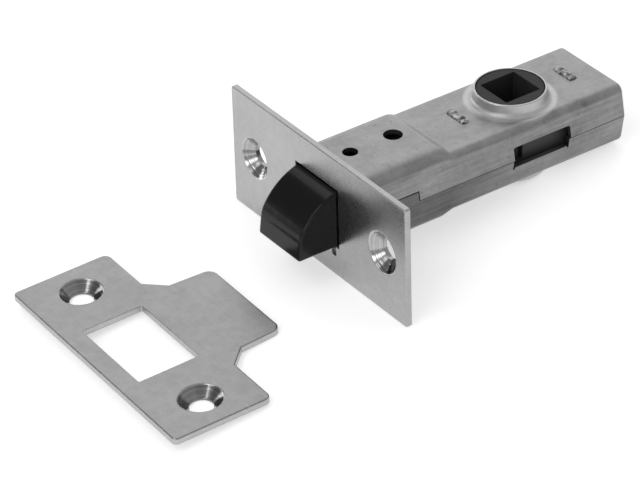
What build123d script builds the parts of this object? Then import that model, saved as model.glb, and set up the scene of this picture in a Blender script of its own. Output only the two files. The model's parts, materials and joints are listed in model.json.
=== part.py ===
from build123d import *
import math
import os

# Tubular mortice latch and its strike plate, in millimetres.
# +X runs from the faceplate into the door, +Y along the faceplate and +Z along the spindle.
# The origin is the middle of the faceplate's front face, on the centre line of the bolt.

# Faceplate
plate_length = 54.0
plate_width = 25.0
plate_thickness = 1.2
plate_corner_radius = 0.4
plate_edge_round = 0.25
plate_screw_pitch = 40.0

# Formed countersinks, alike on the faceplate and the strike plate
screw_hole_diameter = 4.5
countersink_diameter = 8.2
countersink_angle = 90.0
plate_land = 0.85
strike_land = 0.35
dimple_wall = 0.8
dimple_end_wall = 0.6

# Latch bolt
bolt_width = 12.6
bolt_height = 11.8
bolt_throw = 8.9
bolt_retracted_stand = 0.4
bolt_head_depth = 4.0
bolt_side_gap = 0.3
bolt_end_gap = 0.4
bolt_case_gap = 0.7
bolt_edge_round = 0.45
nose_height = 4.9
nose_draft = 0.6
nose_corner_radius = 0.6
nose_blend_radius = 6.0
bevel_radius = 13.0
bevel_crest = 0.3
lug_length = 4.5
lug_half_height = 2.0
lug_round = 0.5
bore_bottom = -1.0

# Case, pressed in two halves from one sheet
sheet_thickness = 1.0
wall_lean = 10.0
deep_corner_radius = 3.0
shallow_corner_radius = 1.8
shallow_half_height = 6.2
ramp_length = 3.0
rear_edge_round = 0.6
rear_reach = 19.5
parting_gap = 0.12
side_tab_length = 14.3
side_tab_height = 1.7
side_tab_gap = 0.2
plate_lug_width = 1.2
plate_lug_grip = 0.5
plate_lug_spacing = 9.9
plate_notch_side_gap = 0.07
plate_notch_foot_gap = 0.75
plate_notch_radius = 0.25

# Side windows of the case, measured from the spindle axis and the parting plane
window_front = 6.9
window_rear = 6.4
window_rise = 2.6
window_drop = 1.6
window_shift = 0.4
window_corner_radius = 0.5
window_relief_width = 0.4
window_relief_depth = 0.45

# Holes in the top of the case
hole_offset = 1.1
front_hole_depth = 8.4
front_hole_diameter = 3.0
rear_hole_depth = 18.1
rear_hole_diameter = 3.7

# Follower and the drawn collars that carry it
backset = 44.5
spindle_square = 8.0
spindle_corner_radius = 0.3
follower_wall = 0.89
follower_running_gap = 0.05
follower_end_gap = 0.1
follower_flange = 0.45
follower_hub_step = 0.05
follower_edge_chamfer = 0.25
collar_wall = 0.4
upper_collar_rise = 2.4
lower_collar_rise = 1.9
collar_draft = 0.15
collar_foot_radius = 1.1
collar_rim_chamfer = 0.15
lobe_half_width = 0.7
lobe_half_height = 1.4
lobe_lean = 32.0
lobe_wall_gap = 0.24
lobe_drive_gap = 0.2
lobe_slot_gap = 0.3
lobe_slot_reach = 8.5

# Retractor, a fork whose arms run beside the bolt and the follower
arm_inner_gap = 0.3
arm_thickness = 1.4
arm_wall_gap = 0.42
arm_tail = 7.3
arm_edge_round = 0.4
hook_setback = 2.4
hook_length = 3.0
hook_gap = 0.1
lug_slot_gap = 0.15
lug_end_gap = 0.3
lug_tip_gap = 0.2
bridge_thickness = 0.8
bridge_root = 0.2
bridge_inset = 0.3
bridge_front_gap = 0.5
bridge_rear_gap = 1.3
shoulder_round = 0.5
slide_gap = 0.2

# Spacers, steel bars staked over outside both halves of the case
spacer_thickness = 1.6
spacer_width = 7.2
spacer_offset = 0.5
tenon_width = 5.4
tenon_gap = 0.05
stake_length = 5.6
stake_width = 1.9
stake_rise = 0.3
stake_bevel = 0.2
chisel_mark_width = 0.8
chisel_mark_depth = 0.35
chisel_mark_pitch = 2.5
front_spacer_setback = 11.9
rear_spacer_setback = 13.5

# Bolt spring
spring_diameter = 5.6
spring_wire = 0.7
spring_wire_sides = 6
spring_coils = 7
spring_bore_gap = 0.3
spring_end_gap = 0.05

# Strike plate, measured across from its straight edge
strike_length = 55.8
strike_width = 20.4
strike_thickness = 1.2
strike_screw_pitch = 40.8
strike_edge_radius = 1.0
strike_shoulder_radius = 1.5
strike_edge_round = 0.3
lip_reach = 12.7
lip_root_width = 31.6
lip_neck_reach = 3.7
lip_neck_width = 24.4
lip_end_width = 23.4
lip_corner_radius = 2.0
strike_opening_margin = 4.0
strike_opening_length = 12.7
strike_opening_width = 19.4
strike_opening_radius = 0.3
strike_setback = 51.2
strike_yaw = -1.6

# How far a cutting shape runs past the sheet that it cuts
cut_margin = 1.0

# Sizes that follow from the driving ones
lean = math.tan(math.radians(wall_lean))
cone_half_angle = math.radians(countersink_angle / 2)
bolt_travel = bolt_throw - bolt_retracted_stand
deep_half_height = bolt_height / 2 + bolt_case_gap + sheet_thickness
shallow_inside = shallow_half_height - sheet_thickness
bridge_top = shallow_inside - slide_gap
bridge_bottom = bridge_top - bridge_thickness
tail_half_height = bridge_bottom - slide_gap
arm_half_height = bridge_bottom + bridge_root
flange_bottom = arm_half_height + slide_gap
journal_radius = spindle_square * math.sqrt(2) / 2 + follower_wall
hub_radius = journal_radius - follower_hub_step
collar_bore = journal_radius + follower_running_gap
collar_rim = collar_bore + collar_wall
upper_collar_top = shallow_half_height + upper_collar_rise
lower_collar_top = shallow_half_height + lower_collar_rise
arm_inner = max(hub_radius, bolt_width / 2) + arm_inner_gap
arm_outer = arm_inner + arm_thickness
sheet_across_wall = sheet_thickness / math.cos(math.radians(wall_lean))
inside_half_width = arm_outer + arm_wall_gap + arm_half_height * lean
case_half_width = inside_half_width + sheet_across_wall
case_rear = backset + rear_reach
ramp_start = bolt_head_depth + 2 * bolt_travel + bridge_front_gap
ramp_end = ramp_start + ramp_length
hook_front = bolt_head_depth + hook_setback
hook_rear = hook_front + hook_length
lug_front = hook_rear + hook_gap
tail_rear = lug_front + lug_length
lug_slot_rear = tail_rear + bolt_travel + lug_end_gap
lug_tip = arm_outer - lug_tip_gap
lobe_centre = inside_half_width - lobe_half_height * lean - lobe_wall_gap - lobe_half_width
lobe_setback = lobe_centre * math.sin(math.radians(lobe_lean))
shoulder_front = backset - lobe_setback + lobe_half_width + lobe_drive_gap
front_spacer_x = backset - front_spacer_setback
rear_spacer_x = backset + rear_spacer_setback
front_spacer_face = front_spacer_x - spacer_thickness / 2
opening_half_width = bolt_width / 2 + bolt_side_gap
opening_half_height = bolt_height / 2 + bolt_end_gap
bore_radius = spring_diameter / 2 + spring_bore_gap


def block(x_span, y_span, z_span):
    """A box between two values on each axis."""
    spans = (x_span, y_span, z_span)
    size = [high - low for low, high in spans]
    centre = [(high + low) / 2 for low, high in spans]
    return Pos(*centre) * Box(*size)


def both_ways(half):
    """The span from minus a half size to plus it."""
    return (-half, half)


def on_spindle(shape):
    """Moves a shape that was made about the Z axis onto the spindle axis."""
    return Pos(backset, 0, 0) * shape


def cone_depth():
    return (countersink_diameter - screw_hole_diameter) / 2 / math.tan(cone_half_angle)


def formed_depth(thickness, land):
    """How deep a formed countersink runs from the front of its sheet."""
    return max(cone_depth() + land, thickness)


def dimple_radius(depth):
    """Outside radius of the metal that is pushed back round a countersink."""
    slope = countersink_diameter / 2 - depth * math.tan(cone_half_angle)
    around_hole = screw_hole_diameter / 2 + dimple_end_wall
    return max(slope + dimple_wall / math.cos(cone_half_angle), around_hole)


def revolved(points):
    """A solid turned about Z from radius and height points."""
    face = make_face(Polyline(*points, close=True))
    return revolve(Plane.XZ * face, Axis.Z)


def dimple(thickness, land):
    """Metal pushed back behind the sheet, with the sheet's front at zero and depth along +Z."""
    middle = thickness / 2
    end = formed_depth(thickness, land)
    return revolved([(0, middle), (dimple_radius(middle), middle), (dimple_radius(end), end), (0, end)])


def countersink(thickness, land):
    """The conical seat and the hole of a screw, cut from the sheet's front."""
    mouth = countersink_diameter / 2
    hole = screw_hole_diameter / 2
    end = formed_depth(thickness, land)
    front = -cut_margin
    back = end + cut_margin
    return revolved([(0, front), (mouth, front), (mouth, 0), (hole, cone_depth()), (hole, back), (0, back)])


def plate_notch(side):
    """Notch in the foot of the bolt opening that takes a lug of the lower half of the case."""
    width = plate_lug_width + 2 * plate_notch_side_gap
    foot = deep_half_height + plate_notch_foot_gap
    through = (-cut_margin, plate_thickness + cut_margin)
    notch = block(through, both_ways(width / 2), (-foot, cut_margin - opening_half_height))
    foot_edges = notch.edges().filter_by(Axis.X).sort_by(Axis.Z)[:2]
    return Pos(0, side * plate_lug_spacing / 2, 0) * fillet(foot_edges, plate_notch_radius)


def faceplate():
    """Flat steel forend with its bolt opening and two formed countersinks."""
    plate = block((0, plate_thickness), both_ways(plate_length / 2), both_ways(plate_width / 2))
    plate = fillet(plate.edges().filter_by(Axis.X), plate_corner_radius)
    plate = fillet(plate.faces().sort_by(Axis.X)[0].edges(), plate_edge_round)
    for side in (-1, 1):
        station = Plane((0, side * plate_screw_pitch / 2, 0), x_dir=(0, 1, 0), z_dir=(1, 0, 0))
        plate += station * dimple(plate_thickness, plate_land)
        plate -= station * countersink(plate_thickness, plate_land)
    through = (-cut_margin, plate_thickness + cut_margin)
    opening = block(through, both_ways(opening_half_width), both_ways(opening_half_height))
    return plate - opening - plate_notch(-1) - plate_notch(1)


def half_section(x, half_width, top, corner):
    """Section of half the case above the parting plane: leaning walls and rounded shoulders."""
    crown = half_width - top * lean
    outline = Polyline((-half_width, 0), (-crown, top), (crown, top), (half_width, 0), close=True)
    face = make_face(outline)
    face = fillet(face.vertices().sort_by(Axis.Y)[-2:], corner)
    return Plane((x, 0, 0), x_dir=(0, 1, 0), z_dir=(1, 0, 0)) * face


def half_solid(inset, front, rear):
    """Half the case as a solid, inset from its outer skin: deep front, ramp and shallow rear."""
    half_width = case_half_width - inset / math.cos(math.radians(wall_lean))

    def section(x, share):
        top = deep_half_height + share * (shallow_half_height - deep_half_height)
        corner = deep_corner_radius + share * (shallow_corner_radius - deep_corner_radius)
        return half_section(x, half_width, top - inset, corner - inset)

    ramp_sections = []
    for step in (0, 0.25, 0.5, 0.75, 1):
        ramp_sections.append(section(ramp_start + step * ramp_length, step * step * (3 - 2 * step)))
    deep = extrude(section(front, 0), ramp_start - front)
    shallow = extrude(section(ramp_end, 1), rear - ramp_end)
    return deep + loft(ramp_sections) + shallow


def collar(top):
    """Collar drawn up from the sheet round the follower, with a thin rim and a rounded foot."""
    waist = collar_rim + collar_draft
    foot = waist + collar_foot_radius
    foot_middle = collar_foot_radius * (1 - math.sqrt(2) / 2)
    sheet_middle = shallow_half_height - sheet_thickness / 2
    rim = Polyline(
        (foot, shallow_half_height),
        (foot, sheet_middle),
        (collar_bore, sheet_middle),
        (collar_bore, top),
        (collar_rim - collar_rim_chamfer, top),
        (collar_rim, top - collar_rim_chamfer),
        (waist, shallow_half_height + collar_foot_radius),
    )
    sweep_to_sheet = ThreePointArc(
        (waist, shallow_half_height + collar_foot_radius),
        (waist + foot_middle, shallow_half_height + foot_middle),
        (foot, shallow_half_height),
    )
    return on_spindle(revolve(Plane.XZ * make_face([rim, sweep_to_sheet]), Axis.Z))


def stake_slot(x):
    """Slot in the top of a half case for the tenon of a spacer."""
    half_length = tenon_width / 2 + tenon_gap
    half_width = spacer_thickness / 2 + tenon_gap
    through = (shallow_inside - cut_margin, shallow_half_height + cut_margin)
    return Pos(x, spacer_offset, 0) * block(both_ways(half_width), both_ways(half_length), through)


def trimmed(shell, front):
    """A half case with its side walls trimmed to the parting line, from a given depth to the rear."""
    below = (-cut_margin, parting_gap / 2)
    return shell - block((front, case_rear + cut_margin), past_walls(), below)


def past_walls():
    """The span across the case, past both of its side walls."""
    return both_ways(case_half_width + cut_margin)


def half_case(collar_top):
    """Half the case above the parting plane, before its edges are cut; the lower half is turned over."""
    outside = half_solid(0, plate_thickness, case_rear)
    rear_edges = outside.faces().sort_by(Axis.X)[-1].edges().filter_by(lambda e: e.center().Z > parting_gap)
    outside = fillet(rear_edges, rear_edge_round)
    inside = half_solid(sheet_thickness, plate_thickness, case_rear - sheet_thickness)
    sheet = outside - inside + collar(collar_top)
    sheet -= on_spindle(Cylinder(collar_bore, 4 * collar_top))
    for x in (front_spacer_x, rear_spacer_x):
        sheet -= stake_slot(x)
    return sheet


def tab_zone(grow):
    """Space of the side tabs that rise from the lower half beside the faceplate."""
    length = plate_thickness + side_tab_length + grow
    return block((plate_thickness, length), both_ways(case_half_width), (0, side_tab_height + grow))


def window_cut(front, rear, rise):
    """Side window through both walls of a half case, with its outer corners rounded."""
    cut = block((front, rear), past_walls(), (-cut_margin, rise))
    corners = cut.edges().filter_by(Axis.Y).sort_by(Axis.Z)[-2:]
    return fillet(corners, window_corner_radius)


def case_upper_shell():
    """Upper half of the case, with the holes and the windows that show in its top and sides."""
    shell = trimmed(half_case(upper_collar_top), 0) - tab_zone(side_tab_gap)
    shell -= window_cut(backset - window_front, backset + window_rear, window_rise)
    for x, diameter in ((front_hole_depth, front_hole_diameter), (rear_hole_depth, rear_hole_diameter)):
        shell -= Pos(x, hole_offset, deep_half_height) * Cylinder(diameter / 2, 3 * sheet_thickness)
    return shell


def case_lower_shell():
    """Lower half of the case, with side tabs and the two lugs that enter the faceplate."""
    sheet = half_case(lower_collar_top)
    shell = trimmed(sheet, plate_thickness + side_tab_length)
    front = backset - window_front - window_shift / 2
    rear = backset + window_rear - window_shift
    shell -= window_cut(front, rear, window_drop)
    for x in (front, rear - window_relief_width):
        slit = (x, x + window_relief_width)
        shell -= block(slit, past_walls(), (0, window_drop + window_relief_depth))
    shell = mirror(shell, Plane.XY) + (sheet & tab_zone(0))
    lug_depth = (plate_thickness - plate_lug_grip, plate_thickness + sheet_thickness)
    lug_height = (-deep_half_height, sheet_thickness - deep_half_height)
    for side in (-1, 1):
        lug = block(lug_depth, both_ways(plate_lug_width / 2), lug_height)
        shell += Pos(0, side * plate_lug_spacing / 2, 0) * lug
    return shell


def chisel_mark():
    """Groove that a staking chisel leaves across the end of a tenon."""
    half = chisel_mark_width / 2
    corners = [(-half, stake_rise), (half, stake_rise), (0, stake_rise - chisel_mark_depth)]
    valley = make_face(Polyline(*corners, close=True))
    return extrude(Plane.YZ * valley, stake_width, both=True)


def stake_head():
    """End of a tenon spread over the sheet, standing on the XY plane."""
    head = extrude(SlotOverall(stake_length, stake_width, rotation=90), stake_rise)
    return chamfer(head.faces().sort_by(Axis.Z)[-1].edges(), stake_bevel)


def spacer(x):
    """Steel bar between the halves of the case, shouldered inside and staked over outside."""
    across = both_ways(spacer_thickness / 2)
    bar = block(across, both_ways(spacer_width / 2), both_ways(shallow_inside))
    bar += block(across, both_ways(tenon_width / 2), both_ways(shallow_half_height))
    head = Pos(0, 0, shallow_half_height) * stake_head()
    bar += head + mirror(head, Plane.XY)
    for side in (-1, 1):
        mark = Pos(0, side * chisel_mark_pitch / 2, shallow_half_height) * chisel_mark()
        bar -= mark + mirror(mark, Plane.XY)
    return Pos(x, spacer_offset, 0) * bar


def bolt_head():
    """Moulded head of the bolt: flat foot, slightly drafted nose and a curved bevel that runs into it."""
    half = bolt_height / 2
    foot = (-bolt_throw, -half)
    nose = (nose_draft - bolt_throw, nose_height - half)
    crest = (bevel_crest, half)
    flat = Polyline(crest, (bolt_head_depth, half), (bolt_head_depth, -half), foot, nose)
    bevel = RadiusArc(nose, crest, bevel_radius)
    face = make_face([flat, bevel])
    nose_corner = face.vertices().sort_by(Axis.X)[1]
    face = fillet(nose_corner, nose_blend_radius)
    foot_corner = face.vertices().sort_by(Axis.X)[0]
    face = fillet(foot_corner, nose_corner_radius)
    head = extrude(Plane.XZ * face, bolt_width / 2, both=True)
    side_edges = head.edges().filter_by(lambda e: abs(abs(e.center().Y) - bolt_width / 2) < 0.01)
    side_edges = side_edges.filter_by(lambda e: e.center().X < bolt_head_depth - 0.01)
    return fillet(side_edges, bolt_edge_round)


def latch_bolt():
    """One-piece moulded bolt: bevelled head, slimmer tail, side lugs and a blind bore for the spring."""
    tail = block((0, tail_rear), both_ways(bolt_width / 2), both_ways(tail_half_height))
    lugs = block((lug_front, tail_rear), both_ways(lug_tip), both_ways(lug_half_height))
    lugs = fillet(lugs.edges().filter_by(Axis.Y), lug_round)
    bore_length = tail_rear - bore_bottom
    bore = Cylinder(bore_radius, bore_length, align=(Align.CENTER, Align.CENTER, Align.MIN))
    return bolt_head() + tail + lugs - Pos(bore_bottom, 0, 0) * Rot(0, 90, 0) * bore


def arm_profile():
    """Side view of a retractor arm: hook and lost-motion slot in front, lobe slot and shoulder behind."""
    rear = backset + arm_tail
    arm = Pos((hook_front + rear) / 2, 0) * Rectangle(rear - hook_front, 2 * arm_half_height)
    arm = fillet(arm.vertices(), arm_edge_round)
    lug_slot_half = lug_half_height + lug_slot_gap
    lug_slot = Pos((hook_rear + lug_slot_rear) / 2, 0)
    arm -= lug_slot * Rectangle(lug_slot_rear - hook_rear, 2 * lug_slot_half)
    lobe_slot_front = backset - lobe_slot_reach
    lobe_slot_half = lobe_half_height + lobe_slot_gap
    lobe_slot = Pos((lobe_slot_front + shoulder_front) / 2, 0)
    return arm - lobe_slot * Rectangle(shoulder_front - lobe_slot_front, 2 * lobe_slot_half)


def retractor():
    """Moulded fork: two arms that hook the bolt's lugs, joined by bridges over and under its tail."""
    arm = extrude(Plane.XZ * arm_profile(), -arm_thickness)
    arm = Pos(0, arm_inner, 0) * arm
    outer_edges = arm.faces().sort_by(Axis.Y)[-1].outer_wire().edges()
    arm = fillet(outer_edges, arm_edge_round / 2)
    shoulder_edge = arm.edges().filter_by(Axis.Z).filter_by(
        lambda e: abs(e.center().X - shoulder_front) < 0.01 and abs(e.center().Y - arm_inner) < 0.01
    )
    arm = fillet(shoulder_edge, shoulder_round)
    fork = arm + mirror(arm, Plane.XZ)
    bridge_front = bolt_head_depth + bolt_travel + bridge_front_gap
    bridge_rear = front_spacer_face - bolt_travel - bridge_rear_gap
    across = both_ways(arm_outer - bridge_inset)
    bridge = block((bridge_front, bridge_rear), across, (bridge_bottom, bridge_top))
    return fork + bridge + mirror(bridge, Plane.XY)


def lobe(side):
    """Driving finger of the follower, round at its tip and leaning towards the faceplate."""
    blade = Pos(0, lobe_centre / 2) * Rectangle(2 * lobe_half_width, lobe_centre)
    blade += Pos(0, lobe_centre) * Circle(lobe_half_width)
    finger = extrude(blade, lobe_half_height, both=True)
    finger = Rot(0, 0, lobe_lean) * finger
    return finger if side > 0 else mirror(finger, Plane.XZ)


def journal(collar_top):
    """Half the follower's body above the parting plane: hub, thrust flange and the journal in its collar."""
    flange_top = shallow_inside - follower_running_gap
    flange_radius = journal_radius + follower_flange
    top = collar_top - follower_end_gap
    chamfer = follower_edge_chamfer
    return revolved(
        [
            (0, 0),
            (hub_radius, 0),
            (hub_radius, flange_bottom),
            (flange_radius, flange_bottom),
            (flange_radius, flange_top),
            (journal_radius, flange_top),
            (journal_radius, top - chamfer),
            (journal_radius - chamfer, top),
            (0, top),
        ]
    )


def follower():
    """Moulded follower: journals in the collars, thrust flanges, two lobes and a square spindle hole."""
    body = journal(upper_collar_top) + mirror(journal(lower_collar_top), Plane.XY)
    body += lobe(1) + lobe(-1)
    square = RectangleRounded(spindle_square, spindle_square, spindle_corner_radius)
    return on_spindle(body - extrude(square, 2 * upper_collar_top, both=True))


def bolt_spring():
    """Wire compression spring between the bottom of the bolt's bore and the front spacer."""
    start = bore_bottom + spring_end_gap + spring_wire / 2
    length = front_spacer_face - spring_end_gap - spring_wire / 2 - start
    radius = (spring_diameter - spring_wire) / 2
    path = Helix(pitch=length / spring_coils, height=length, radius=radius)
    section = Plane(path @ 0, z_dir=path % 0) * RegularPolygon(spring_wire / 2, spring_wire_sides)
    coil = sweep(section, path, is_frenet=True)
    return Pos(start, 0, 0) * Rot(0, 90, 0) * coil


def strike_outline():
    """Plan of the strike plate, its straight edge on the Y axis and its lip towards +X."""
    neck = strike_width + lip_neck_reach
    end = strike_width + lip_reach
    upper = [
        (0, strike_length / 2),
        (strike_width, strike_length / 2),
        (strike_width, lip_root_width / 2),
        (neck, lip_neck_width / 2),
        (end, lip_end_width / 2),
    ]
    lower = [(x, -y) for x, y in reversed(upper)]
    face = make_face(Polyline(*upper, *lower, close=True))
    face = fillet(face.vertices().group_by(Axis.X)[-1], lip_corner_radius)
    ends = face.vertices().filter_by(lambda v: abs(abs(v.Y) - strike_length / 2) < 0.01)
    face = fillet(ends.filter_by(lambda v: v.X > strike_width / 2), strike_shoulder_radius)
    return fillet(face.vertices().group_by(Axis.X)[0], strike_edge_radius)


def strike_flat():
    """Strike plate before it is laid down: its underside on the XY plane."""
    plate = extrude(strike_outline(), strike_thickness)
    plate = fillet(plate.faces().sort_by(Axis.Z)[-1].edges(), strike_edge_round)
    for side in (-1, 1):
        middle = (strike_width / 2, side * strike_screw_pitch / 2, strike_thickness)
        station = Plane(middle, x_dir=(1, 0, 0), z_dir=(0, 0, -1))
        plate += station * dimple(strike_thickness, strike_land)
        plate -= station * countersink(strike_thickness, strike_land)
    opening = RectangleRounded(strike_opening_length, strike_opening_width, strike_opening_radius)
    opening = Pos(strike_opening_margin + strike_opening_length / 2, 0) * opening
    return plate - extrude(opening, 3 * strike_thickness, both=True)


def strike_plate():
    """Strike plate lying on its dimples and its lip, on the surface that the latch rests on."""
    fall = plate_width / 2 - lower_collar_top
    run = backset + collar_rim - collar_rim_chamfer - plate_thickness
    rest_tilt = math.degrees(math.atan2(fall, run))
    depth = formed_depth(strike_thickness, strike_land)
    rise = depth - strike_thickness
    foot = strike_width / 2 + dimple_radius(depth)
    lip_end = strike_width + lip_reach
    tip = math.atan2(rise, lip_end - foot)
    lift = lip_end * math.sin(tip)
    surface = Pos(plate_thickness, 0, -plate_width / 2) * Rot(0, -rest_tilt, 0)
    laid = Pos(-strike_setback, 0, lift) * Rot(0, 0, strike_yaw) * Rot(0, math.degrees(tip), 0)
    return surface * laid * strike_flat()


parts = {
    "faceplate": faceplate(),
    "case_upper_shell": case_upper_shell(),
    "case_lower_shell": case_lower_shell(),
    "front_spacer": spacer(front_spacer_x),
    "rear_spacer": spacer(rear_spacer_x),
    "latch_bolt": latch_bolt(),
    "retractor": retractor(),
    "follower": follower(),
    "bolt_spring": bolt_spring(),
    "strike_plate": strike_plate(),
}

os.makedirs("parts", exist_ok=True)
for name, part in parts.items():
    export_step(part, f"parts/{name}.step")
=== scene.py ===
import bpy
import json
import math
from mathutils import Matrix, Vector


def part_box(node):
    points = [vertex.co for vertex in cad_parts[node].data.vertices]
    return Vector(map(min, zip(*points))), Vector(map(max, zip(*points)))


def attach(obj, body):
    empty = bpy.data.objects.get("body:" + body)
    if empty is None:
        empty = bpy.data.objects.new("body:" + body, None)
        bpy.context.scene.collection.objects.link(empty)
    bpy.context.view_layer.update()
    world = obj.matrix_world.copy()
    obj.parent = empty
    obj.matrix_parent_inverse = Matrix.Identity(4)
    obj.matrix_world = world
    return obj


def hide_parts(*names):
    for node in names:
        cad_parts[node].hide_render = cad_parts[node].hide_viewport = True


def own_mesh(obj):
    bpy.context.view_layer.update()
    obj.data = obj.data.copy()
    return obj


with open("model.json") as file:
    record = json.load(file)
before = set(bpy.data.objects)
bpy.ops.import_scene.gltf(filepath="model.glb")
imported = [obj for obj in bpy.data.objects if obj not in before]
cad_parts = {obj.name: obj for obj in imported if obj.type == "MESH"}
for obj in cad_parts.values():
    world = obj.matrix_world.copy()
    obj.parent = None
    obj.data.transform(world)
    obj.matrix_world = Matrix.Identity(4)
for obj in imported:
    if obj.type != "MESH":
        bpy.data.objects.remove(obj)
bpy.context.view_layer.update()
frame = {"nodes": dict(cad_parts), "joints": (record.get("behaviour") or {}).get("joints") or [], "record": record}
nodes = frame["nodes"]


# Case. Two halves pressed from one millimetre steel sheet and plated with bright zinc. The press leaves fine
# drawing lines along them, and the plating dries in soft clouds with a few darker specks. The upper half has
# the two tooling holes and the upper collar; the lower half has the tabs and lugs that hold the faceplate.

class Surface:
    """A socket of a material or of the room. Arithmetic adds Math nodes, and node() adds any other node."""

    def __init__(self, tree, socket=None):
        self.tree = tree
        self.socket = socket

    def node(self, kind, settings=(), sockets=(), output=0):
        made = self.tree.nodes.new(kind)
        for name, value in dict(settings).items():
            setattr(made, name, value)
        for name, value in dict(sockets).items():
            if isinstance(value, Surface):
                self.tree.links.new(value.socket, made.inputs[name])
            else:
                made.inputs[name].default_value = value
        return Surface(self.tree, made.outputs[output] if made.outputs else None)

    def math(self, operation, first, second):
        return self.node("ShaderNodeMath", {"operation": operation}, {0: first, 1: second})

    def __add__(self, other):
        return self.math("ADD", self, other)

    def __radd__(self, other):
        return self.math("ADD", other, self)

    def __sub__(self, other):
        return self.math("SUBTRACT", self, other)

    def __rsub__(self, other):
        return self.math("SUBTRACT", other, self)

    def __mul__(self, other):
        return self.math("MULTIPLY", self, other)

    def __rmul__(self, other):
        return self.math("MULTIPLY", other, self)


def new_finish(name):
    """An empty material, and the start of its node tree."""
    material = bpy.data.materials.new(name)
    material.use_nodes = True
    material.node_tree.nodes.clear()
    return material, Surface(material.node_tree)


def finish_with(start, sockets):
    """Ends a material in one Principled shader."""
    shader = start.node("ShaderNodeBsdfPrincipled", (), sockets)
    start.node("ShaderNodeOutputMaterial", (), {"Surface": shader})


def place_on(start):
    """Where a point lies on its piece, in metres."""
    return start.node("ShaderNodeTexCoord", output="Object")


def stretched(place, scale):
    """The place with each axis scaled, so that a pattern runs along the axis that is scaled least."""
    return place.node("ShaderNodeVectorMath", {"operation": "MULTIPLY"}, {0: place, 1: scale})


def along(place, direction):
    """How far a place or a direction reaches along another direction."""
    return place.node("ShaderNodeVectorMath", {"operation": "DOT_PRODUCT"}, {0: place, 1: direction}, "Value")


def distance_from(place, middle, axis):
    """How far a point is from a line that runs through a middle along an axis."""
    offset = place.node("ShaderNodeVectorMath", {"operation": "SUBTRACT"}, {0: place, 1: middle})
    side = place.node("ShaderNodeVectorMath", {"operation": "CROSS_PRODUCT"}, {0: offset, 1: axis})
    return place.node("ShaderNodeVectorMath", {"operation": "LENGTH"}, {0: side}, "Value")


def clouds(place, size, detail):
    """Soft noise from 0 to 1 with features of about a given size in metres."""
    return place.node("ShaderNodeTexNoise", (), {"Vector": place, "Scale": 1 / size, "Detail": detail})


def between(signal, low, high, out_low=0.0, out_high=1.0):
    """A smooth step of a signal, from out_low where it is at low to out_high where it is at high."""
    sockets = {0: signal, 1: low, 2: high, 3: out_low, 4: out_high}
    return signal.node("ShaderNodeMapRange", {"interpolation_type": "SMOOTHSTEP"}, sockets)


def walls_along(place, axis):
    """0 on faces that lie across an axis, and 1 on the walls that stand along it."""
    facing = along(place.node("ShaderNodeTexCoord", output="Normal"), axis)
    return between(facing.math("ABSOLUTE", facing, 0), 0.75, 0.35)


def grey(level):
    """A grey from 0, black, to 1, white, with the least touch of blue."""
    return (level, level, level * 1.01, 1)


def blended(share, first, second):
    """A colour that goes from the first to the second."""
    return share.node("ShaderNodeMix", {"data_type": "RGBA"}, {"Factor": share, 6: first, 7: second}, 2)


def toned(tone):
    """The grey of a tone that changes over a surface."""
    return blended(tone, grey(0), grey(1))


def raised(height, distance, onto=None):
    """A bump of a height signal from 0 to 1 that stands for a distance in metres, on top of another bump."""
    sockets = {"Height": height, "Distance": distance, "Strength": 1.0}
    if onto is not None:
        sockets["Normal"] = onto
    return height.node("ShaderNodeBump", (), sockets)


mounts = {mount["name"]: mount for mount in frame["record"]["mounts"]}
spindle = mounts["spindle_hole"]
collar_foot = 0.0092
collar_wall = 0.0084
# Where the painted shade on the case walls is strongest at the front, and where it has faded out at the rear.
painted_shade_front_x = 0.022
painted_shade_rear_x = 0.044


def pressed_zinc(name, painted_wall_shade, painted_front_shade):
    """Bright zinc on pressed steel. The walls get painted shade, which a second share makes darker towards the
    front, and the collar gets painted light.
    """
    material, start = new_finish(name)
    place = place_on(start)
    # The collar, which gets painted light and is kept out of the painted wall shade.
    collar = between(distance_from(place, spindle["pos_m"], spindle["axis"]), collar_foot, collar_wall)
    wall = walls_along(place, spindle["axis"]) * (1 - collar)
    # Painted shade: the walls are made darker towards the front.
    front = between(along(place, (1, 0, 0)), painted_shade_rear_x, painted_shade_front_x)
    cloud = clouds(place, 0.007, 3.0)
    mottle = clouds(place, 0.0016, 4.0)
    grain = clouds(place, 0.00035, 2.0)
    drawn = clouds(stretched(place, (0.05, 1.0, 1.0)), 0.0006, 3.0)
    stains = between(clouds(stretched(place, (0.5, 1.0, 1.0)), 0.0035, 4.0), 0.58, 0.72)
    specks = between(clouds(place, 0.0009, 1.0), 0.72, 0.78)
    scratches = between(clouds(stretched(place, (0.04, 1.0, 1.0)), 0.00025, 1.0), 0.74, 0.80)
    tone = 0.11 + 0.18 * cloud + 0.14 * mottle + 0.10 * grain + 0.26 * (drawn - 0.5) * wall
    # Painted light: the collar is made lighter by a fixed share; the stains, specks and scratches are the zinc's
    # own.
    tone = tone - 0.05 * stains - 0.10 * specks + 0.07 * scratches + 0.22 * collar
    # Painted shade on the walls, deepest at the front.
    tone = tone * (1 - wall * (painted_wall_shade + painted_front_shade * front))
    waves = raised(clouds(stretched(place, (0.35, 1.0, 1.0)), 0.006, 1.0), 0.0002)
    lines = raised(drawn, 0.000012, waves)
    finish_with(
        start,
        {
            "Base Color": toned(tone),
            "Metallic": 1.0,
            "Roughness": 0.34 + 0.10 * cloud + 0.08 * mottle + 0.07 * collar,
            "Normal": raised(grain, 0.000003, lines),
        },
    )
    return material


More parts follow.
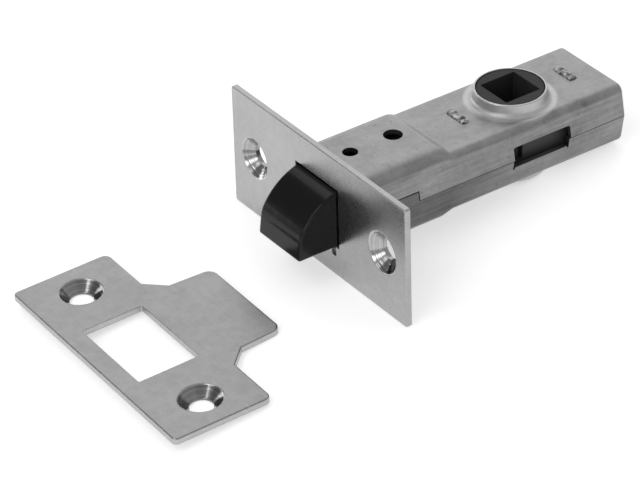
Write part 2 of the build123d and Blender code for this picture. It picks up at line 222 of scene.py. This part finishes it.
# Both halves get painted shade on their walls; the lower half gets more of it at the front.
upper_zinc = pressed_zinc("upper_case_zinc", painted_wall_shade=0.24, painted_front_shade=0.0)
lower_zinc = pressed_zinc("lower_case_zinc", painted_wall_shade=0.22, painted_front_shade=0.34)
nodes["case_upper_shell"].material_slots[0].material = upper_zinc
nodes["case_lower_shell"].material_slots[0].material = lower_zinc


# Spacers. Two plain steel bars between the halves of the case. Their tenons pass through slots and are spread
# over the sheet by two blows of a chisel, which leave bright bruised metal.

spacer_steel, start = new_finish("spacer_steel")
place = place_on(start)
bruise = clouds(place, 0.0013, 2.0)
grain = clouds(place, 0.00025, 2.0)
finish_with(
    start,
    {
        "Base Color": toned(between(bruise, 0.36, 0.62, 0.12, 0.42)),
        "Metallic": 1.0,
        "Roughness": 0.20 + 0.16 * bruise,
        "Normal": raised(grain, 0.00001, raised(bruise, 0.0004)),
    },
)
for name in ("front_spacer", "rear_spacer"):
    nodes[name].material_slots[0].material = spacer_steel


# Faceplate and strike plate. Flat steel blanked from one sheet, satin finished and plated, with sheared edges
# that keep the marks of the blanking tool. Each has two formed countersinks, which are turned bright, with a
# painted highlight on their rims. The faceplate is painted lighter than the strike plate; the strike plate has
# painted light on its sheared edges and painted shade in its countersinks. The strike plate lies by itself in
# front of the latch, turned a little out of line with it.

countersink_radius = 0.0041
rim_width = 0.0002
rim_depth = 0.00012
strike_turned = math.radians(-1.6)


def eased(start, radius):
    """The surface normal with sharp edges rounded off to a radius in metres."""
    return start.node("ShaderNodeBevel", {"samples": 6}, {"Radius": radius})


def screw_holes(plate, turned):
    """The middles of the two screw holes of a plate that lies turned by an angle, and the axis of both."""
    mount = mounts[plate + "_screws"]
    sizes = mount["dims"]
    pitch = sizes.get("spacing_x_mm", sizes.get("pcd_mm")) / 1000
    axis = Vector(mount["axis"]).normalized()
    line = Vector((-math.sin(turned), math.cos(turned), 0))
    line = (line - axis * line.dot(axis)).normalized()
    return [Vector(mount["pos_m"]) + side * pitch / 2 * line for side in (-1, 1)], axis


def plate_finish(name, plate, turned, shade, painted_countersink_shade, painted_edge_light, edge_round, ring_depth):
    """Satin zinc whose brightness is set lighter or darker for each plate as painted light, with the plate's own
    sheared edges and turned countersinks, painted light or shade on them, and a painted highlight on the
    countersink rims.
    """
    material, start = new_finish(name)
    place = place_on(start)
    middles, axis = screw_holes(plate, turned)
    near = place.math("MINIMUM", *[distance_from(place, middle, axis) for middle in middles])
    past_rim = near - countersink_radius
    countersunk = between(past_rim, rim_width / 4, -rim_width / 4)
    # Painted highlight: a thin ring at the edge of each countersink is made lighter.
    painted_rim_highlight = between(past_rim, -rim_width, 0) * between(past_rim, rim_width, 0)
    rings = clouds(near, 0.0004, 1.0)
    sheared = walls_along(place, axis) * (1 - countersunk)
    cloud = clouds(place, 0.009, 3.0)
    mottle = clouds(place, 0.0018, 4.0)
    grain = clouds(place, 0.00025, 2.0)
    brushed = clouds(stretched(place, (1.0, 0.05, 1.0)), 0.0003, 2.0)
    torn = clouds(place, 0.0003, 3.0)
    scratches = between(clouds(stretched(place, (0.3, 0.03, 0.3)), 0.00025, 1.0), 0.74, 0.80)
    # The plate's tone; its overall level is partly painted light, set higher on the faceplate than on the strike
    # plate.
    tone = shade - 0.14 + 0.09 * cloud + 0.09 * mottle + 0.05 * grain + 0.04 * brushed + 0.05 * scratches
    # Painted shade darkens the countersinks of the strike plate; the rings are real turning marks.
    tone = tone + countersunk * (painted_countersink_shade + 0.45 * (rings - 0.5)) + 0.15 * painted_rim_highlight
    # Painted light on the sheared edges, lightest on the strike plate; the torn marks are real.
    tone = tone + sheared * (painted_edge_light + 0.14 * (torn - 0.5))
    rough = 0.22 + 0.04 * cloud + 0.03 * mottle + 0.04 * grain
    rough = rough * (1 - countersunk) + 0.13 * countersunk + 0.10 * sheared
    rolled = raised(clouds(place, 0.012, 1.0), 0.00003, eased(start, edge_round))
    flat = raised(grain, 0.0000006, rolled)
    ringed = raised(rings * countersunk, ring_depth, flat)
    rimmed = raised(between(past_rim, -rim_width / 2, 1.5 * rim_width), rim_depth, ringed)
    finish_with(
        start,
        {
            "Base Color": toned(tone),
            "Metallic": 1.0,
            "Roughness": rough,
            "Normal": raised(torn * sheared, 0.000006, rimmed),
        },
    )
    return material


# Painted light: the faceplate is given a lighter level than the strike plate, though both are the same satin zinc.
nodes["faceplate"].material_slots[0].material = plate_finish(
    "faceplate_satin_zinc",
    "faceplate",
    turned=0.0,
    shade=0.41,
    painted_countersink_shade=0.0,
    painted_edge_light=0.0,
    edge_round=0.00016,
    ring_depth=0.00007,
)
# The strike plate gets painted shade in its countersinks and painted light on its sheared edges.
nodes["strike_plate"].material_slots[0].material = plate_finish(
    "strike_satin_zinc",
    "strike",
    turned=strike_turned,
    shade=0.305,
    painted_countersink_shade=-0.045,
    painted_edge_light=0.16,
    edge_round=0.0003,
    ring_depth=0.00001,
)


# Latch bolt. One piece of black nylon, moulded with a gloss on its bevel. It slides in the mouth of the case
# and through the faceplate, and the door and the strike plate leave hair scratches on it.

bolt_nylon, start = new_finish("bolt_nylon")
place = place_on(start)
haze = clouds(place, 0.004, 3.0)
hair = between(clouds(stretched(place, (0.3, 1.0, 0.3)), 0.0004, 3.0), 0.6, 0.75)
pores = raised(clouds(place, 0.0003, 1.0), 0.000001, eased(start, 0.0004))
finish_with(
    start,
    {
        "Base Color": blended(haze, grey(0.005), grey(0.007)),
        "Roughness": 0.10 + 0.08 * haze + 0.06 * hair,
        "Specular IOR Level": 0.26,
        "Normal": raised(haze, 0.00003, pores),
    },
)
nodes["latch_bolt"].material_slots[0].material = bolt_nylon


# Retractor. A fork moulded from black nylon in one piece. It slides in the case on both sides of the bolt
# and the follower, draws the bolt in, and shows in the side window.

fork_nylon, start = new_finish("fork_nylon")
place = place_on(start)
haze = clouds(place, 0.003, 3.0)
grain = clouds(place, 0.0002, 1.0)
finish_with(
    start,
    {
        "Base Color": blended(haze, grey(0.050), grey(0.064)),
        "Roughness": 0.38 + 0.12 * haze,
        "Specular IOR Level": 0.3,
        "Normal": raised(grain, 0.000006, raised(haze, 0.00002)),
    },
)
nodes["retractor"].material_slots[0].material = fork_nylon


# Follower. A hub of black nylon, moulded with an even spark-eroded grain and square through its middle for
# the spindle. It turns in the two collars of the case, and its lobes push the retractor back.

follower_nylon, start = new_finish("follower_nylon")
place = place_on(start)
haze = clouds(place, 0.003, 3.0)
grain = clouds(place, 0.00025, 2.0)
finish_with(
    start,
    {
        "Base Color": blended(0.5 * haze + 0.5 * grain, grey(0.015), grey(0.030)),
        "Roughness": 0.55 + 0.10 * grain,
        "Specular IOR Level": 0.3,
        "Normal": raised(grain, 0.000012),
    },
)
nodes["follower"].material_slots[0].material = follower_nylon


# Bolt spring. Round drawn steel wire with closed ends, from the bottom of the bolt's bore to the front
# spacer. In the latch two joints shorten it; here it is made as two halves that meet in the middle: the rear
# one stays with the case, and the front one rides on the retractor.

spring_wire, start = new_finish("spring_wire")
place = place_on(start)
drawn = clouds(place, 0.0006, 3.0)
finish_with(
    start,
    {
        "Base Color": toned(0.38 + 0.12 * drawn),
        "Metallic": 1.0,
        "Roughness": 0.26 + 0.12 * drawn,
        "Normal": raised(drawn, 0.000004),
    },
)
wire_radius = 0.00035
turns = 7
middle_turn = turns / 2
closed_turn = 2.1 * wire_radius
steps_per_turn = 28
spring_low, spring_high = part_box("bolt_spring")
coil_radius = (spring_high.y - spring_low.y) / 2 - wire_radius
front_x = spring_low.x + wire_radius
rear_x = spring_high.x - wire_radius
open_turn = (rear_x - front_x - 2 * closed_turn) / (turns - 2)
travels = {joint["name"]: joint["range_m"][1] for joint in frame["joints"] if joint["type"] == "slide"}


def wire_x(turn):
    """How far back the wire is after a number of turns. The first and the last turn lie closed."""
    closed = closed_turn * (min(turn, 1) + max(turn - turns + 1, 0))
    return front_x + closed + open_turn * min(max(turn - 1, 0), turns - 2)


def spring_half(name, first_turn, last_turn, body, joint):
    """Half of the coil, which rides on a body. It works out its share of a joint's travel, but does not shorten.
    """
    curve = bpy.data.curves.new(name + "_line", "CURVE")
    curve.dimensions = "3D"
    curve.bevel_depth = wire_radius
    curve.bevel_resolution = 2
    curve.use_fill_caps = True
    line = curve.splines.new("POLY")
    line.points.add(round((last_turn - first_turn) * steps_per_turn))
    for step, point in enumerate(line.points):
        turn = first_turn + step / steps_per_turn
        angle = 2 * math.pi * turn
        point.co = (wire_x(turn), coil_radius * math.cos(angle), coil_radius * math.sin(angle), 1)
    bent = bpy.data.objects.new(name + "_line", curve)
    wire = bpy.data.objects.new(name, bpy.data.meshes.new_from_object(bent))
    bpy.data.objects.remove(bent)
    bpy.context.scene.collection.objects.link(wire)
    wire.data.materials.clear()
    wire.data.materials.append(spring_wire)
    for face in wire.data.polygons:
        face.use_smooth = True
    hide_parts("bolt_spring")
    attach(wire, body)
    length = wire_x(last_turn) - wire_x(first_turn)
    1 - travels[joint] / length
    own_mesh(wire)


spring_half("spring_rear", middle_turn, turns, "case", "retractor_slide")
spring_half("spring_front", 0, middle_turn, "retractor", "bolt_push")


# Table. The latch rests on the lower edge of its faceplate and on its lower collar, so the table rises
# towards the case by five degrees. The strike plate lies on its two dimples and the end of its lip.

plate_thickness = 0.0012
collar_rim = 0.00685
table_reach = 6.0
table_drop = 0.00002
edge = Vector((plate_thickness, 0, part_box("faceplate")[0].z))
rest_x = spindle["pos_m"][0] + collar_rim
rest_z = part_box("case_lower_shell")[0].z
rest_tilt = math.atan2(rest_z - edge.z, rest_x - edge.x)

corners = [(x * table_reach, y * table_reach, -table_drop) for x, y in ((-1, -1), (1, -1), (1, 1), (-1, 1))]
table_mesh = bpy.data.meshes.new("table")
table_mesh.from_pydata(corners, [], [(0, 1, 2, 3)])
table = bpy.data.objects.new("table", table_mesh)
bpy.context.scene.collection.objects.link(table)
table.matrix_world = Matrix.Translation(edge) @ Matrix.Rotation(-rest_tilt, 4, "Y")

table_paper, start = new_finish("table_paper")
rays = start.tree.nodes.new("ShaderNodeLightPath")
kinds = ("Is Camera Ray", "Is Glossy Ray", "Is Transmission Ray")
camera_ray, glossy_ray, clear_ray = (Surface(start.tree, rays.outputs[kind]) for kind in kinds)
seen = start.math("MAXIMUM", start.math("MAXIMUM", camera_ray, glossy_ray), clear_ray)
paper = start.node("ShaderNodeBsdfDiffuse", (), {"Color": (0.80, 0.80, 0.80, 1)})
lift = start.node("ShaderNodeEmission", (), {"Color": (1, 1, 1, 1), "Strength": 0.50 * seen})
both = start.node("ShaderNodeAddShader", (), {0: paper, 1: lift})
start.node("ShaderNodeOutputMaterial", (), {"Surface": both})
table_mesh.materials.append(table_paper)


# Light. A plain pale room with two darker doorways, which give the metal its dark edges. The flat tops mirror
# one broad dim panel behind on the right. Small panels stand above and in front on the left, and a low strip
# stands behind.

room = bpy.data.worlds.new("pale_room")
bpy.context.scene.world = room
room.use_nodes = True
room.node_tree.nodes.clear()
start = Surface(room.node_tree)
ray = start.node("ShaderNodeTexCoord", output="Generated")
front_doorway = between(along(ray, (-0.47, -0.69, 0.55)), 0.80, 0.95)
left_doorway = between(along(ray, (-0.50, 0.69, 0.52)), 0.80, 0.95)
strength = 0.56 - 0.12 * front_doorway - 0.32 * left_doorway
air = start.node("ShaderNodeBackground", (), {"Color": (1, 1, 1, 1), "Strength": strength})
start.node("ShaderNodeOutputWorld", (), {"Surface": air})


def soft_box(name, place, width, height, brightness):
    """A lamp panel in metres that faces the latch, with the brightness that its reflection shows."""
    lamp = bpy.data.lights.new(name, "AREA")
    lamp.shape = "RECTANGLE"
    lamp.size = width
    lamp.size_y = height
    lamp.energy = brightness * math.pi * width * height
    panel = bpy.data.objects.new(name, lamp)
    bpy.context.scene.collection.objects.link(panel)
    panel.location = place
    panel.rotation_euler = (-Vector(place)).to_track_quat("-Z", "Y").to_euler()


soft_box("panel_behind", (0.57, 0.82, 0.66), width=1.4, height=1.4, brightness=0.66)
soft_box("panel_left", (-0.7, 0.1, 1.0), width=0.56, height=0.56, brightness=2.2)
soft_box("strip_low", (-0.33, 0.80, 0.10), width=0.7, height=0.24, brightness=2.0)
soft_box("panel_front", (-0.80, -0.36, 0.42), width=0.34, height=0.34, brightness=3.0)


# Camera. It stands where the photograph was taken, in front and to the left of the faceplate, looking down on
# the latch from about 0.7 metres. Its place, lens and slight roll were fitted to the corners of the object.

camera = bpy.data.cameras.new("camera")
camera.sensor_width = 36.0
camera.lens = 217.3
camera.clip_start = 0.01
camera.clip_end = 20.0
camera_object = bpy.data.objects.new("camera", camera)
bpy.context.scene.collection.objects.link(camera_object)
stand = Vector((-0.33578, -0.48668, 0.38284))
look = Vector((-0.00383, -0.00609, -0.00296)) - stand
aim = look.to_track_quat("-Z", "Y").to_matrix().to_4x4()
roll = Matrix.Rotation(math.radians(-1.709), 4, "Z")
camera_object.matrix_world = Matrix.Translation(stand) @ aim @ roll
bpy.context.scene.camera = camera_object
bpy.context.scene.view_settings.view_transform = "Standard"
